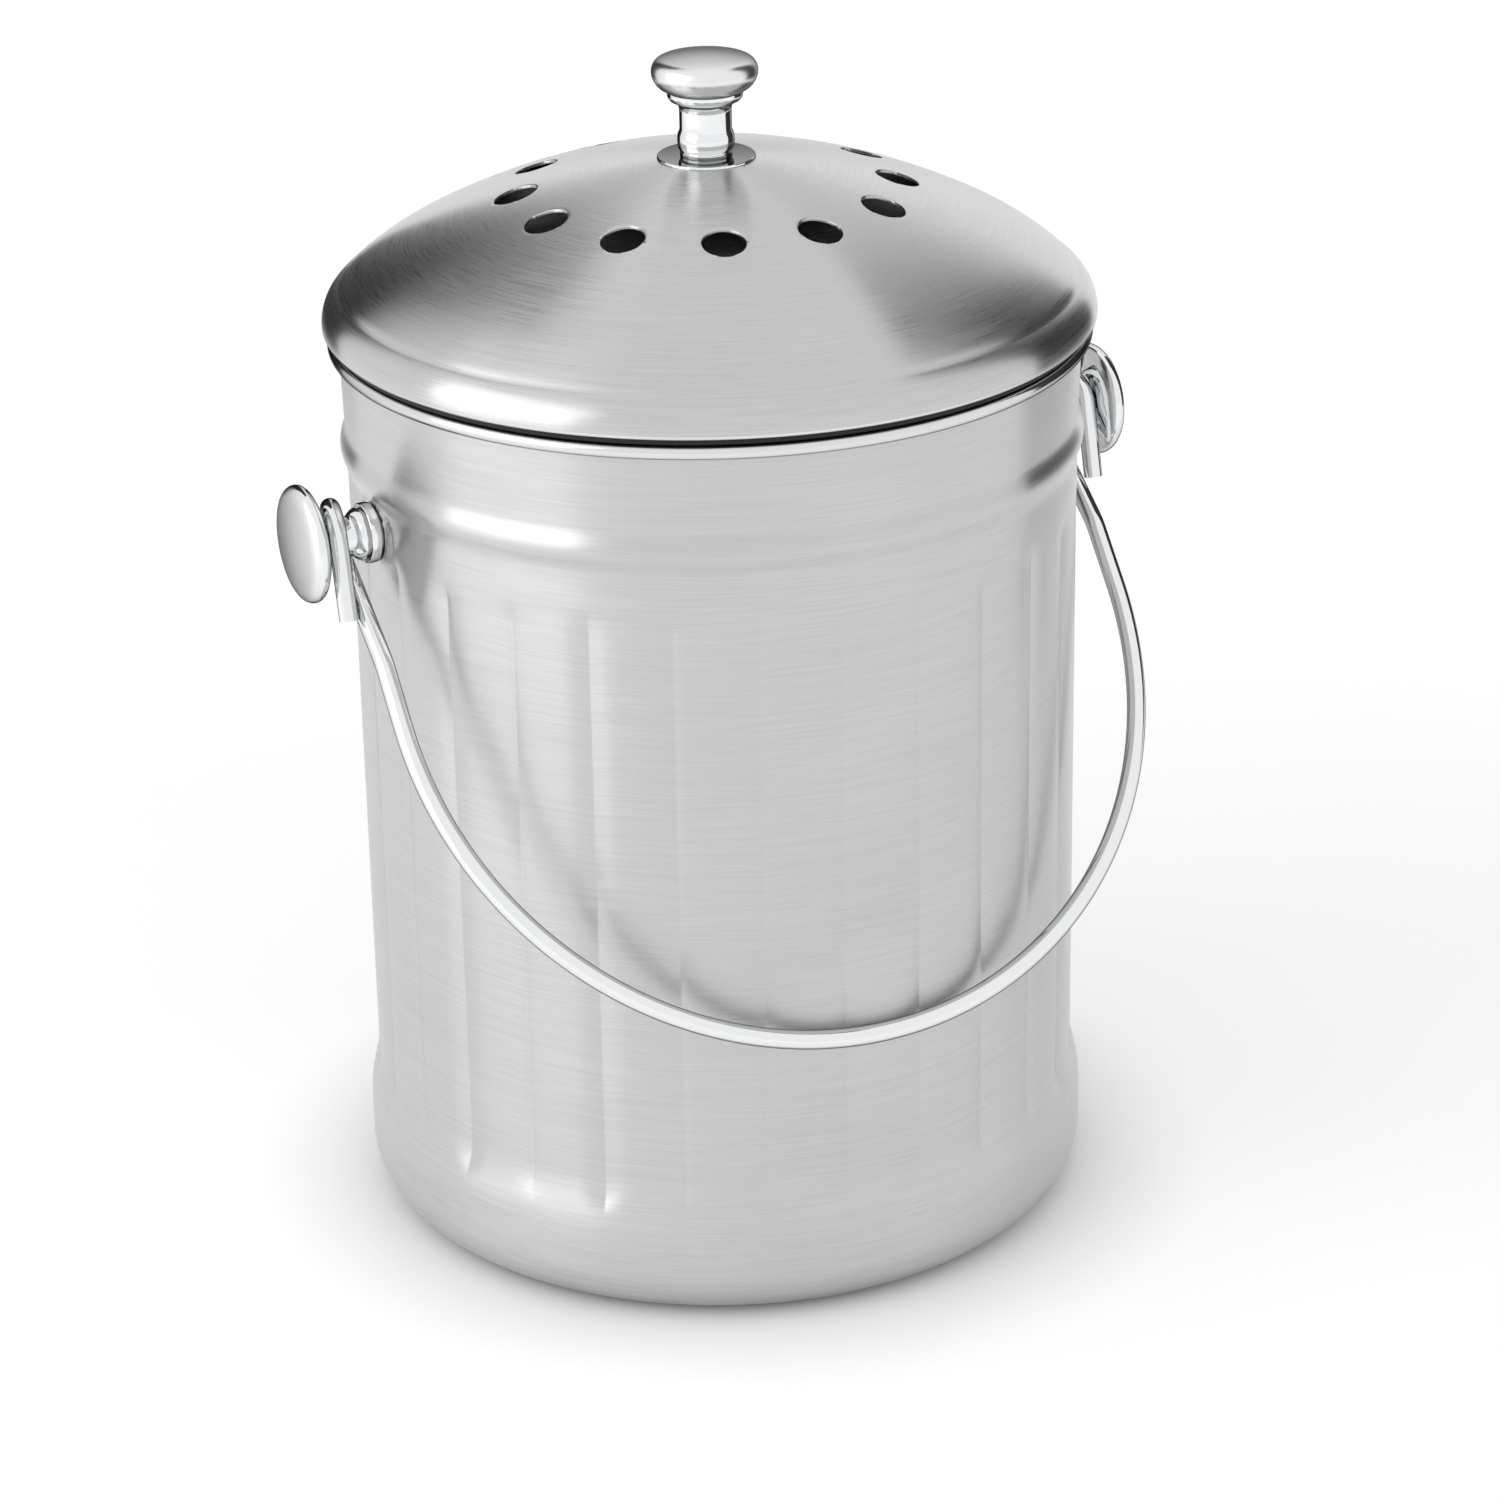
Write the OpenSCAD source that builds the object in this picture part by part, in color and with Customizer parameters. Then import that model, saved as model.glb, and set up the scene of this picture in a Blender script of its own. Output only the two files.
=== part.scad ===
// Kitchen compost caddy: fluted steel can, wire bail, and a vented dome lid that lifts off.
// Millimetres. +Z is up, the origin is the centre of the base, and the knobs are on the X axis.

/* [Can] */
// Height of the can to the top of its rolled rim
can_h = 224.3; // [205:0.1:280]
// Radius of the can at the crests of the flutes
wall_r = 88.1; // [80:0.1:98]
// Thickness of the sheet steel
sheet_t = 0.7; // [0.5:0.05:1.2]
// Number of flutes round the wall
flute_count = 28; // [24:4:32]
// Depth of the creases between the flutes
flute_depth = 1.3; // [0.8:0.05:2]
// Height at which the creases end above the base
flute_foot_z = 38; // [34:0.5:50]
// Distance from the rim down to the upper end of the creases
flute_drop = 44.8; // [43:0.1:60]
// Height over which a crease fades out at its upper end
flute_fade = 7.5; // [5:0.1:9]
// Distance by which the foot stands out past the crests
foot_out = 2.3; // [1.4:0.1:4]
// Height of the smooth band round the foot
foot_h = 23; // [18:0.5:26]
// Fillet between the base and the wall
base_fillet = 12.8; // [8:0.1:16]
// Radius of the stiffening groove in the base
groove_r = 55; // [35:0.5:62]
// Width of the stiffening groove
groove_w = 6; // [3:0.5:10]
// Depth of the stiffening groove
groove_d = 0.9; // [0.4:0.1:1.5]
// Height by which the shoulder bead stands out
bead_h = 1.2; // [0.6:0.05:1.8]
// Half of the width of the shoulder bead
bead_half = 5.6; // [4:0.1:6.5]
// Distance from the rim down to the middle of the shoulder bead
bead_drop = 27; // [26:0.1:28]
// Radius of the rolled rim's own roll
rim_roll_r = 1.7; // [1.2:0.05:2.2]
// Distance by which the mouth's inside stands out past the crests
mouth_flare = 0.1; // [0:0.05:0.5]

/* [Side knobs] */
// Distance from the rim down to the axis of the side knobs
pivot_drop = 38.1; // [37:0.1:42]
// Radius of the flat seat pressed out of the wall
seat_r = 7.7; // [7.3:0.1:8]
// Height of the seat above the crests
seat_h = 0.8; // [0.6:0.05:1.5]
// Width of the slope round the seat
seat_slope = 3; // [2:0.1:3.5]
// Radius of the spacer ring
spacer_r = 7.25; // [6.5:0.05:7.6]
// Length of the spacer ring
spacer_l = 3.4; // [2:0.1:3.8]
// Radius of the knob at the spacer
cone_r = 6.3; // [5.6:0.05:6.6]
// Radius of the neck that the bail hooks round
neck_r = 4.6; // [4:0.05:5.2]
// Radius of the knob's cap
cap_r = 14.1; // [11:0.1:16]
// Thickness of the cap from its back to its rim
cap_back = 2.8; // [2:0.1:4]
// Height of the cap's crown
cap_crown = 3.7; // [2.5:0.1:5]
// Radius of the side screws
screw_r = 2; // [1.5:0.05:2.4]
// Length of a side screw's shank
screw_l = 14; // [11:0.5:16]

/* [Bail] */
// Radius of the bail wire
wire_r = 2.3; // [1.8:0.05:2.6]
// Gap between the bail's legs and the edge of the lid
bail_gap = 0.7; // [0.5:0.05:2]
// Reach of the bail from its pivot to the middle of its arc
bail_reach = 144.1; // [135:0.1:160]
// Gap between the resting bail and the wall
rest_gap = 0.35; // [0.3:0.05:1]
// Gap between the neck and the hook round it
hook_gap = 0.3; // [0.2:0.05:0.6]
// Distance from the pivot at which the legs reach the bail's plane
hook_meet = 32; // [26:0.5:40]
// Length of the hook's cut end
hook_l = 18.5; // [12:0.5:22]
// Angle between the cut end and the bail's plane
hook_open = 26; // [20:1:32]

/* [Lid] */
// Distance by which the lid's edge stands out past the rolled rim
lid_over = 1.05; // [0.4:0.05:2.5]
// Gap between the gasket and the rim
lid_gap = 0.3; // [0.2:0.05:0.6]
// Thickness of the gasket's flange
gasket_t = 1.4; // [1:0.05:2]
// Gap between the gasket and the mouth
mouth_gap = 0.45; // [0.3:0.05:0.8]
// Depth of the skirt below the lid's edge
skirt_h = 13; // [9:0.5:18]
// Radius of the hem round the lid's edge
hem_r = 1.1; // [0.8:0.05:1.4]
// Radius of the lid's shoulder
shoulder_r = 9; // [7:0.1:11]
// Slope of the lid where its shoulder ends
shoulder_slope = 44; // [40:0.5:46]
// Radius of the flank above the shoulder, in section
flank_r = 70; // [60:1:90]
// Slope of the lid where its flank ends
flank_slope = 28; // [25:0.5:31]
// Radius of the crown, in section
crown_r = 175; // [150:1:220]
// Radius of the flat seat in the middle of the lid
lid_seat_r = 12.2; // [12:0.1:14]
// Number of vents
vent_count = 12; // [6:1:16]
// Radius of the ring of vents
vent_ring_r = 45.3; // [40:0.1:50]
// Radius of a vent
vent_r = 5.2; // [3:0.1:6.5]
// Turn of the ring of vents about the axis
vent_turn = 9; // [0:1:29]

/* [Lid knob] */
// Radius of the thin disc under the lid knob
disc_r = 11.7; // [9:0.1:12]
// Thickness of that disc
disc_t = 0.6; // [0.4:0.05:1]
// Radius of the lid knob's spacer
lid_spacer_r = 6.2; // [5.5:0.05:7]
// Height of the lid knob's spacer
lid_spacer_h = 1.3; // [0.8:0.1:2]
// Radius of the lid knob's neck
lid_neck_r = 6.2; // [5:0.05:7]
// Radius of the bulb below the neck
bulb_r = 6.8; // [6.3:0.05:7.5]
// Height of the bulb
bulb_h = 4.8; // [3:0.1:6]
// Height of the neck
lid_neck_h = 5.2; // [3:0.1:8]
// Radius of the collar under the cap
collar_r = 8.8; // [7.5:0.1:10]
// Height of the collar
collar_h = 4.3; // [3:0.1:6]
// Radius of the lid knob's cap
lid_cap_r = 12.65; // [11:0.05:15]
// Height from the collar to the widest part of the cap
lid_cap_back = 4.4; // [3:0.1:6]
// Height of the cap's crown
lid_cap_crown = 4.7; // [3:0.1:6]
// Radius of the lid screw
lid_screw_r = 2.5; // [2:0.05:3]
// Length of the lid screw's shank
lid_screw_l = 16; // [12:0.5:20]

/* [Filter] */
// Radius of the charcoal pad
pad_r = 56; // [52:0.5:57]
// Thickness of the charcoal pad
pad_t = 7; // [5:0.5:8]
// Wall thickness of the holder and of its ring
holder_t = 1.4; // [1:0.1:2]
// Gap between the holder and its ring
holder_gap = 0.5; // [0.4:0.05:0.8]
// Number of lugs that hold the holder
lug_count = 3; // [2:1:4]
// Angle that a lug and its tab each take up
lug_angle = 24; // [18:1:26]
// Length by which a lug stands out
lug_l = 2.6; // [2:0.1:3.4]
// Thickness of a lug and of its tab
lug_t = 1.6; // [1.2:0.1:2]
// Number of slots in each ring of the holder's floor
slot_count = 10; // [6:1:14]
// Width of a slot
slot_w = 5; // [3:0.5:6]

/* [Hidden] */

// Colours of the finishes
brushed = "#b9babb";
bright = "#d8dadc";
silicone = "#1b1b1c";
holder_black = "#26272a";
charcoal = "#2f3133";

// Clearances and small sizes
fit_gap = 0.05;          // screw in its thread
hole_gap = 0.2;          // screw in a plain hole
seam_gap = 0.1;          // between pieces that are clamped or glued
wire_lap = 0.4;          // each straight length of wire runs this far into its bends
lap_step = 0.02;         // and is this much slimmer than they are
edge_break = 0.4;        // chamfer on turned edges
washer_t = 0.8;          // thickness of the washers
washer_r = 5;            // radius of the side washers
lid_washer_r = 7;        // radius of the lid washer
head_h = 2.2;            // height of a screw head
head_k = 1.9;            // head radius as a multiple of the shank radius
stop_angle = 3;          // length of tab that carries the stop beside each lug
over = 1;                // cutters run past a face by this much
grid_steps = 6;          // facets of each eased stretch of a profile

// Can
foot_r = wall_r + foot_out;
mouth_r = wall_r + mouth_flare;
rim_z = can_h - rim_roll_r;
rim_r = mouth_r + rim_roll_r - seam_gap / 2;
flat_r = foot_r - base_fillet;
crease_r = wall_r - flute_depth;
flute_head_z = can_h - flute_drop;
plain_r = wall_r + seam_gap;
bead_z = can_h - bead_drop;
half_pitch = 180 / flute_count;
lobe_sag = wall_r - crease_r * cos(half_pitch);
lobe_chord = crease_r * sin(half_pitch);
lobe_r = (pow(lobe_chord, 2) + pow(lobe_sag, 2)) / (2 * lobe_sag);

lid_r = rim_r + rim_roll_r + lid_over;

// Pivot, side knobs and bail
pivot_z = can_h - pivot_drop;
seat_x = wall_r + seat_h;
knob_x = seat_x + spacer_l;
bail_half = lid_r + bail_gap + wire_r;
cut_x = bail_half + 2 * wire_r + seam_gap;
neck_x = bail_half - wire_r / 2 + fit_gap;
cap_x = cut_x + wire_r + hook_gap;
hook_r = neck_r + hook_gap + wire_r;
bail_lean = asin((wall_r + rest_gap + wire_r) / bail_reach);

// Lid, from its edge up
gasket_z = can_h + lid_gap;
flange_z = gasket_z + gasket_t;
skirt_r = mouth_r - mouth_gap - gasket_t;
edge_z = flange_z + hem_r;
shoulder_x = lid_r - shoulder_r;
flank_x = shoulder_x + (shoulder_r - flank_r) * sin(shoulder_slope);
flank_z = edge_z + (shoulder_r - flank_r) * cos(shoulder_slope);
crown_x = flank_x + (flank_r - crown_r) * sin(flank_slope);
crown_z = flank_z + (flank_r - crown_r) * cos(flank_slope);
seat_slope_angle = asin((lid_seat_r - crown_x) / crown_r);
lid_top_z = crown_z + crown_r * cos(seat_slope_angle);

// Lid knob
disc_z = lid_top_z + disc_t;
lid_knob_z = disc_z + lid_spacer_h;

// Filter
holder_r = pad_r + holder_gap + holder_t;
ring_r = holder_r + lug_l + holder_gap;
ring_top_r = ring_r + holder_t;
pad_top_z = dome_under(holder_r) - holder_gap - sheet_t;
pad_z = pad_top_z - pad_t;
floor_z = pad_z - holder_t - seam_gap;
lug_z = floor_z + holder_t + lug_t;
tab_z = lug_z - lug_t - seam_gap * 3;

// Heights of the lid's outer and inner faces at a radius
function lid_face(r, t) =
    r < lid_seat_r ? lid_top_z - t :
    r < crown_x + crown_r * sin(flank_slope)
        ? crown_z + sqrt(pow(crown_r - t, 2) - pow(r - crown_x, 2))
        : flank_z + sqrt(pow(flank_r - t, 2) - pow(r - flank_x, 2));
function dome_under(r) = lid_face(r, sheet_t);

// A smooth step from a to b as t goes from 0 to 1
function ease(a, b, t) = a + (b - a) * (1 - cos(180 * t)) / 2;

// Points of an arc in a profile
function arc(x, z, r, from, to, steps) =
    [for (i = [0:steps]) let (a = from + (to - from) * i / steps) [x + r * cos(a), z + r * sin(a)]];

// The smooth wall above the foot, from z0 to z1 with the radius easing from r0 to r1
function eased(z0, z1, r0, r1, steps) =
    [for (i = [0:steps]) [ease(r0, r1, i / steps), z0 + (z1 - z0) * i / steps]];

// The shoulder bead: a rounded swelling on the collar, which flares a little to the mouth
function collar_at(z) =
    plain_r + (mouth_r + sheet_t - plain_r) * (z - bead_z + bead_half) / (rim_z - bead_z + bead_half);
function bead_at(z) =
    abs(z - bead_z) < bead_half ? bead_h * (1 + cos(180 * (z - bead_z) / bead_half)) / 2 : 0;
bead_line = [
    for (i = [0:2 * grid_steps])
        let (z = bead_z - bead_half + 2 * bead_half * i / (2 * grid_steps))
        [collar_at(z) + bead_at(z), z]
];
flute_line = concat(
    eased(foot_h, flute_foot_z, foot_r, crease_r, grid_steps + 2),
    eased(flute_head_z, flute_head_z + flute_fade, crease_r, plain_r, grid_steps)
);

// Outline of the can's outside, or of its inside where t is the sheet
function can_outline(t, top) = concat(
    [[0, t], [groove_r - groove_w / 2, t], [groove_r - groove_w / 4, t + groove_d]],
    [[groove_r + groove_w / 4, t + groove_d], [groove_r + groove_w / 2, t], [flat_r, t]],
    arc(flat_r, base_fillet, base_fillet - t, -80, 0, 8),
    [for (p = concat(flute_line, bead_line)) [p[0] - t, p[1]]],
    [[mouth_r + sheet_t - t, rim_z], [mouth_r + sheet_t - t, top], [0, top]]
);

// Flutes: a ring of convex lobes that meet in sharp creases
module lobes(t) {
    circle(r = crease_r - flute_depth - t);
    for (i = [0:flute_count - 1])
        rotate(i * 360 / flute_count)
            translate([wall_r - lobe_r, 0])
                circle(r = lobe_r - t);
}
module flutes(t) {
    translate([0, 0, foot_h + flute_depth])
        linear_extrude(flute_head_z + flute_fade - foot_h - 2 * flute_depth)
            lobes(t);
}

// Places its children on each side's knob axis, pointing outwards
module on_side(side) {
    translate([0, 0, pivot_z])
        rotate([0, side * 90, 0])
            children();
}

// The raised seat for a knob, and the same seen from inside
module seat(t) {
    translate([0, 0, seat_x - seat_slope - t])
        cylinder(h = seat_slope, r1 = seat_r + 1.6 * seat_slope - t, r2 = seat_r - t);
}

module can_body() {
    color(brushed) {
        difference() {
            union() {
                rotate_extrude($fn = 120) polygon(can_outline(0, rim_z));
                flutes(0);
                for (side = [-1, 1]) on_side(side) seat(0);
            }
            rotate_extrude($fn = 120) polygon(can_outline(sheet_t, rim_z + over));
            flutes(sheet_t);
            for (side = [-1, 1]) on_side(side) {
                seat(sheet_t);
                translate([0, 0, seat_x - seat_slope])
                    cylinder(h = seat_slope + over, r = screw_r + hole_gap, $fn = 40);
            }
        }
        rotate_extrude($fn = 120)
            translate([rim_r, rim_z])
                circle(r = rim_roll_r, $fn = 32);
    }
}

// A turned ring with broken edges and a bore
module turned_ring(r, h, bore_r, chamfer) {
    difference() {
        rotate_extrude($fn = 64)
            polygon([
                [0, 0], [r - chamfer, 0], [r, chamfer],
                [r, h - chamfer], [r - chamfer, h], [0, h]
            ]);
        translate([0, 0, -over])
            cylinder(h = h + 2 * over, r = bore_r, $fn = 40);
    }
}

// The side knob: a cone on the spacer, the neck for the hook, and a crowned cap
module side_knob() {
    neck_end = cap_x - knob_x;
    cap_z = neck_end + cap_back;
    bore_l = screw_l - washer_t - sheet_t - spacer_l + over;
    crown_rho = (pow(cap_r - edge_break, 2) + pow(cap_crown - edge_break, 2)) / (2 * (cap_crown - edge_break));
    crown_a = asin((cap_r - edge_break) / crown_rho);
    difference() {
        rotate_extrude($fn = 96)
            polygon(concat(
                [[0, 0], [cone_r - edge_break, 0], [cone_r, edge_break]],
                [[neck_r + 0.2, neck_x - knob_x], [neck_r, neck_x - knob_x + edge_break]],
                [[neck_r, neck_end], [cap_r * 0.62, neck_end + cap_back * 0.3]],
                [[cap_r - 2 * edge_break, cap_z - 2 * edge_break], [cap_r, cap_z]],
                [for (i = [0:8]) let (a = crown_a * (1 - i / 8))
                    [crown_rho * sin(a), cap_z + cap_crown - crown_rho * (1 - cos(a))]]
            ));
        translate([0, 0, -over])
            cylinder(h = bore_l + over, r = screw_r + fit_gap, $fn = 40);
    }
}

// A pan-head screw with a drive slot; its head is below z = 0 and its shank above
module pan_screw(r, l) {
    difference() {
        union() {
            rotate_extrude($fn = 48)
                polygon([
                    [0, -head_h], [r * head_k - 0.8, -head_h], [r * head_k - 0.2, -head_h + 0.5],
                    [r * head_k, -head_h / 2], [r * head_k, 0], [r, 0], [r, l - 0.5], [r - 0.5, l], [0, l]
                ]);
        }
        translate([-r * head_k - over, -0.5, -head_h - over])
            cube([2 * r * head_k + 2 * over, 1, over + head_h * 0.45]);
    }
}

module knob_at(side) {
    color(bright)
        on_side(side)
            translate([0, 0, knob_x])
                side_knob();
}
module spacer_at(side) {
    color(bright)
        on_side(side)
            translate([0, 0, seat_x])
                turned_ring(spacer_r, spacer_l, screw_r + hole_gap, edge_break);
}
module screw_at(side) {
    color(bright)
        on_side(side)
            translate([0, 0, seat_x - sheet_t - washer_t])
                pan_screw(screw_r, screw_l);
}
module washer_at(side) {
    color(bright)
        on_side(side)
            translate([0, 0, seat_x - sheet_t - washer_t])
                turned_ring(washer_r, washer_t, screw_r + hole_gap, 0.2);
}

// A point of the bail: x across, s along its plane from the pivot, n off its plane to the front
function bail_point(x, s, n) = [
    x,
    -s * sin(bail_lean) - n * cos(bail_lean),
    pivot_z - s * cos(bail_lean) + n * sin(bail_lean)
];
// The hook runs from the cut end in front, over the neck, to the leg behind it
leg_turn = asin(hook_r / hook_meet);
wrap = (180 + leg_turn + hook_open) / 3;
hook_corner = hook_r / cos(wrap / 2);
hook_lane = [cut_x, (cut_x + bail_half) / 2, bail_half];
function hook_points(side) = concat(
    [bail_point(side * cut_x,
        hook_r * sin(hook_open) + hook_l * cos(hook_open),
        hook_r * cos(hook_open) - hook_l * sin(hook_open))],
    [for (i = [0:2]) let (a = 90 - hook_open + wrap * (i + 0.5))
        bail_point(side * hook_lane[i], hook_corner * cos(a), hook_corner * sin(a))],
    [bail_point(side * bail_half, hook_meet, 0), bail_point(side * bail_half, bail_reach, 0)]
);
bail_left = hook_points(-1);
bail_path = concat(hook_points(1), [for (i = [len(bail_left) - 1:-1:0]) bail_left[i]]);
bend_side = [0, hook_r, hook_r, hook_r, 2 * hook_r, bail_half - wire_lap / 2];
bend_radii = concat(bend_side, [for (i = [len(bend_side) - 1:-1:0]) bend_side[i]]);

function unit(v) = v / norm(v);
function turn_at(path, i) =
    acos(min(1, unit(path[i] - path[i - 1]) * unit(path[i + 1] - path[i])));
function trim_at(path, radii, i) =
    i == 0 || i == len(path) - 1 ? 0 : radii[i] * tan(turn_at(path, i) / 2) - wire_lap;

// A straight length of wire
module rod(p, q, r) {
    d = q - p;
    translate(p)
        rotate([0, acos(d[2] / norm(d)), atan2(d[1], d[0])])
            cylinder(h = norm(d), r = r, $fn = 32);
}
// A bend of wire at corner b, with its centre line at radius bend_r
module bend(a, b, c, bend_r, r) {
    u = unit(b - a);
    n = unit(cross(u, unit(c - b)));
    x = cross(u, n);
    angle = acos(min(1, u * unit(c - b)));
    centre = b - u * bend_r * tan(angle / 2) - x * bend_r;
    multmatrix([
        [x[0], u[0], n[0], centre[0]],
        [x[1], u[1], n[1], centre[1]],
        [x[2], u[2], n[2], centre[2]],
        [0, 0, 0, 1]
    ])
        rotate_extrude(angle = angle, $fn = 96)
            translate([bend_r, 0])
                circle(r = r, $fn = 32);
}
// Wire along a path, with a bend at each inner corner
module wire(path, radii, r) {
    for (i = [0:len(path) - 2]) {
        d = unit(path[i + 1] - path[i]);
        rod(path[i] + d * trim_at(path, radii, i), path[i + 1] - d * trim_at(path, radii, i + 1), r - lap_step);
    }
    for (i = [1:len(path) - 2])
        bend(path[i - 1], path[i], path[i + 1], radii[i], r);
}
module bail_handle() {
    color(bright)
        wire(bail_path, bend_radii, wire_r);
}

// Section of the lid's shell at a depth t under its outer face, from the edge to the middle
function lid_line(t) = concat(
    [[lid_r - t, edge_z]],
    arc(shoulder_x, edge_z, shoulder_r - t, 0, 90 - shoulder_slope, 10),
    arc(flank_x, flank_z, flank_r - t, 90 - shoulder_slope, 90 - flank_slope, 6),
    arc(crown_x, crown_z, crown_r - t, 90 - flank_slope, 90 - seat_slope_angle, 10),
    [[0, lid_top_z - t]]
);
module lid_dome() {
    outer = lid_line(0);
    inner = lid_line(sheet_t);
    color(brushed) {
        difference() {
            rotate_extrude($fn = 120)
                polygon(concat(outer, [for (i = [len(inner) - 1:-1:0]) inner[i]]));
            for (i = [0:vent_count - 1])
                rotate(vent_turn + i * 360 / vent_count)
                    translate([vent_ring_r, 0, lid_face(vent_ring_r, 0)])
                        rotate([0, asin((vent_ring_r - crown_x) / crown_r), 0])
                            translate([0, 0, -3 * sheet_t])
                                cylinder(h = 6 * sheet_t, r = vent_r, $fn = 40);
            translate([0, 0, lid_top_z - 2 * sheet_t])
                cylinder(h = 4 * sheet_t, r = lid_screw_r + hole_gap, $fn = 40);
        }
        rotate_extrude($fn = 120)
            translate([lid_r - hem_r, edge_z])
                circle(r = hem_r - fit_gap, $fn = 24);
    }
}

// The skirt plugs into the mouth and carries the gasket under its flange
module lid_skirt() {
    flange_r = lid_r - 2 * hem_r - seam_gap;
    color(brushed)
        rotate_extrude($fn = 120)
            polygon([
                [skirt_r - sheet_t, flange_z - skirt_h],
                [skirt_r, flange_z - skirt_h],
                [skirt_r, flange_z],
                [flange_r, flange_z],
                [flange_r, flange_z + sheet_t],
                [skirt_r - sheet_t, flange_z + sheet_t]
            ]);
}
module lid_gasket() {
    inner_r = skirt_r + seam_gap;
    band_r = inner_r + gasket_t - seam_gap;
    band_z = gasket_z - skirt_h * 0.55;
    color(silicone)
        rotate_extrude($fn = 120)
            polygon([
                [inner_r, band_z],
                [band_r - edge_break, band_z],
                [band_r, band_z + edge_break],
                [band_r, gasket_z],
                [rim_r + 0.4 * rim_roll_r, gasket_z],
                [rim_r + 0.6 * rim_roll_r, gasket_z + gasket_t / 2],
                [rim_r + 0.4 * rim_roll_r, flange_z],
                [inner_r, flange_z]
            ]);
}

// The lid knob, from the spacer up: bulb, neck, collar and crowned cap
module lid_knob() {
    neck_z = bulb_h + lid_neck_h;
    back_z = neck_z + collar_h;
    wide_z = back_z + lid_cap_back;
    bore_l = lid_screw_l - washer_t - sheet_t - disc_t - lid_spacer_h + over;
    cove = collar_r - lid_neck_r;
    crown_rho = (pow(lid_cap_r - edge_break, 2) + pow(lid_cap_crown - 1, 2)) / (2 * (lid_cap_crown - 1));
    crown_a = asin((lid_cap_r - edge_break) / crown_rho);
    color(bright)
        translate([0, 0, lid_knob_z])
            difference() {
                rotate_extrude($fn = 96)
                    polygon(concat(
                        [[0, 0], [lid_neck_r - edge_break, 0], [lid_neck_r - 0.1, edge_break]],
                        [for (i = [0:6]) let (t = i / 6)
                            [lid_neck_r + (bulb_r - lid_neck_r) * sin(180 * t), edge_break + t * (bulb_h - edge_break)]],
                        [for (i = [0:5]) let (a = 90 * i / 5)
                            [collar_r - cove * cos(a), neck_z + (collar_h - 0.8) * sin(a)]],
                        [[collar_r + 0.1, back_z], [lid_cap_r - 1.2, wide_z - 1.4], [lid_cap_r - 0.3, wide_z - 0.6]],
                        [[lid_cap_r, wide_z], [lid_cap_r - 0.15, wide_z + 0.6]],
                        [for (i = [0:8]) let (a = crown_a * (1 - i / 8))
                            [crown_rho * sin(a), wide_z + lid_cap_crown - crown_rho * (1 - cos(a))]]
                    ));
                translate([0, 0, -over])
                    cylinder(h = bore_l + over, r = lid_screw_r + fit_gap, $fn = 40);
            }
}
module lid_knob_spacer() {
    color(bright)
        translate([0, 0, disc_z])
            turned_ring(lid_spacer_r, lid_spacer_h, lid_screw_r + hole_gap, 0.3);
}
module lid_knob_disc() {
    color(bright)
        translate([0, 0, lid_top_z])
            turned_ring(disc_r, disc_t, lid_screw_r + hole_gap, 0.2);
}
module lid_screw() {
    color(bright)
        translate([0, 0, lid_top_z - sheet_t - washer_t])
            pan_screw(lid_screw_r, lid_screw_l);
}
module lid_washer() {
    color(bright)
        translate([0, 0, lid_top_z - sheet_t - washer_t])
            turned_ring(lid_washer_r, washer_t, lid_screw_r + hole_gap, 0.2);
}

// A block that covers a sector of a ring
module sector(r0, r1, h, angle) {
    rotate(-angle / 2)
        rotate_extrude(angle = angle, $fn = 96)
            translate([r0, 0])
                square([r1 - r0, h]);
}

// The ring is fixed under the dome. Its tabs carry the holder's lugs, each beside a stop
module filter_ring() {
    color(holder_black) {
        rotate_extrude($fn = 120)
            polygon([
                [ring_r, tab_z - lug_t - edge_break],
                [ring_top_r, tab_z - lug_t - edge_break],
                [ring_top_r, dome_under(ring_top_r) - seam_gap],
                [ring_r, dome_under(ring_r) - seam_gap]
            ]);
        for (i = [0:lug_count - 1])
            rotate(i * 360 / lug_count) {
                rotate(-stop_angle / 2)
                    translate([0, 0, tab_z - lug_t])
                        sector(holder_r + holder_gap, ring_r + holder_t / 2, lug_t, lug_angle + stop_angle);
                rotate(-(lug_angle + stop_angle) / 2)
                    translate([0, 0, tab_z - lug_t / 2])
                        sector(holder_r + 2 * holder_gap, ring_r + holder_t / 3, 2 * lug_t, stop_angle / 2);
            }
    }
}

// The holder: a shallow slotted dish with lugs that turn in over the tabs
module filter_holder() {
    color(holder_black) {
        difference() {
            translate([0, 0, floor_z])
                cylinder(h = holder_t + seam_gap + pad_t, r = holder_r, $fn = 120);
            translate([0, 0, floor_z + holder_t])
                cylinder(h = pad_t + over, r = holder_r - holder_t, $fn = 120);
            for (ring = [0.36, 0.72])
                for (i = [0:slot_count - 1])
                    rotate(i * 360 / slot_count)
                        translate([pad_r * ring, 0, floor_z - over])
                            linear_extrude(holder_t + 2 * over)
                                translate([-pad_r * 0.13, -slot_w / 2])
                                    square([pad_r * 0.26, slot_w]);
        }
        for (i = [0:lug_count - 1])
            rotate(i * 360 / lug_count)
                translate([0, 0, lug_z - lug_t])
                    sector(holder_r - holder_t / 2, holder_r + lug_l, lug_t, lug_angle - 2);
    }
}
module filter_pad() {
    color(charcoal)
        translate([0, 0, pad_z])
            cylinder(h = pad_t, r = pad_r, $fn = 120);
}

can_body();
knob_at(-1);  // left_knob
knob_at(1);  // right_knob
spacer_at(-1);  // left_spacer
spacer_at(1);  // right_spacer
screw_at(-1);  // left_screw
screw_at(1);  // right_screw
washer_at(-1);  // left_washer
washer_at(1);  // right_washer
bail_handle();
lid_dome();
lid_skirt();
lid_gasket();
lid_knob();
lid_knob_spacer();
lid_knob_disc();
lid_screw();
lid_washer();
filter_ring();
filter_holder();
filter_pad();
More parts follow.
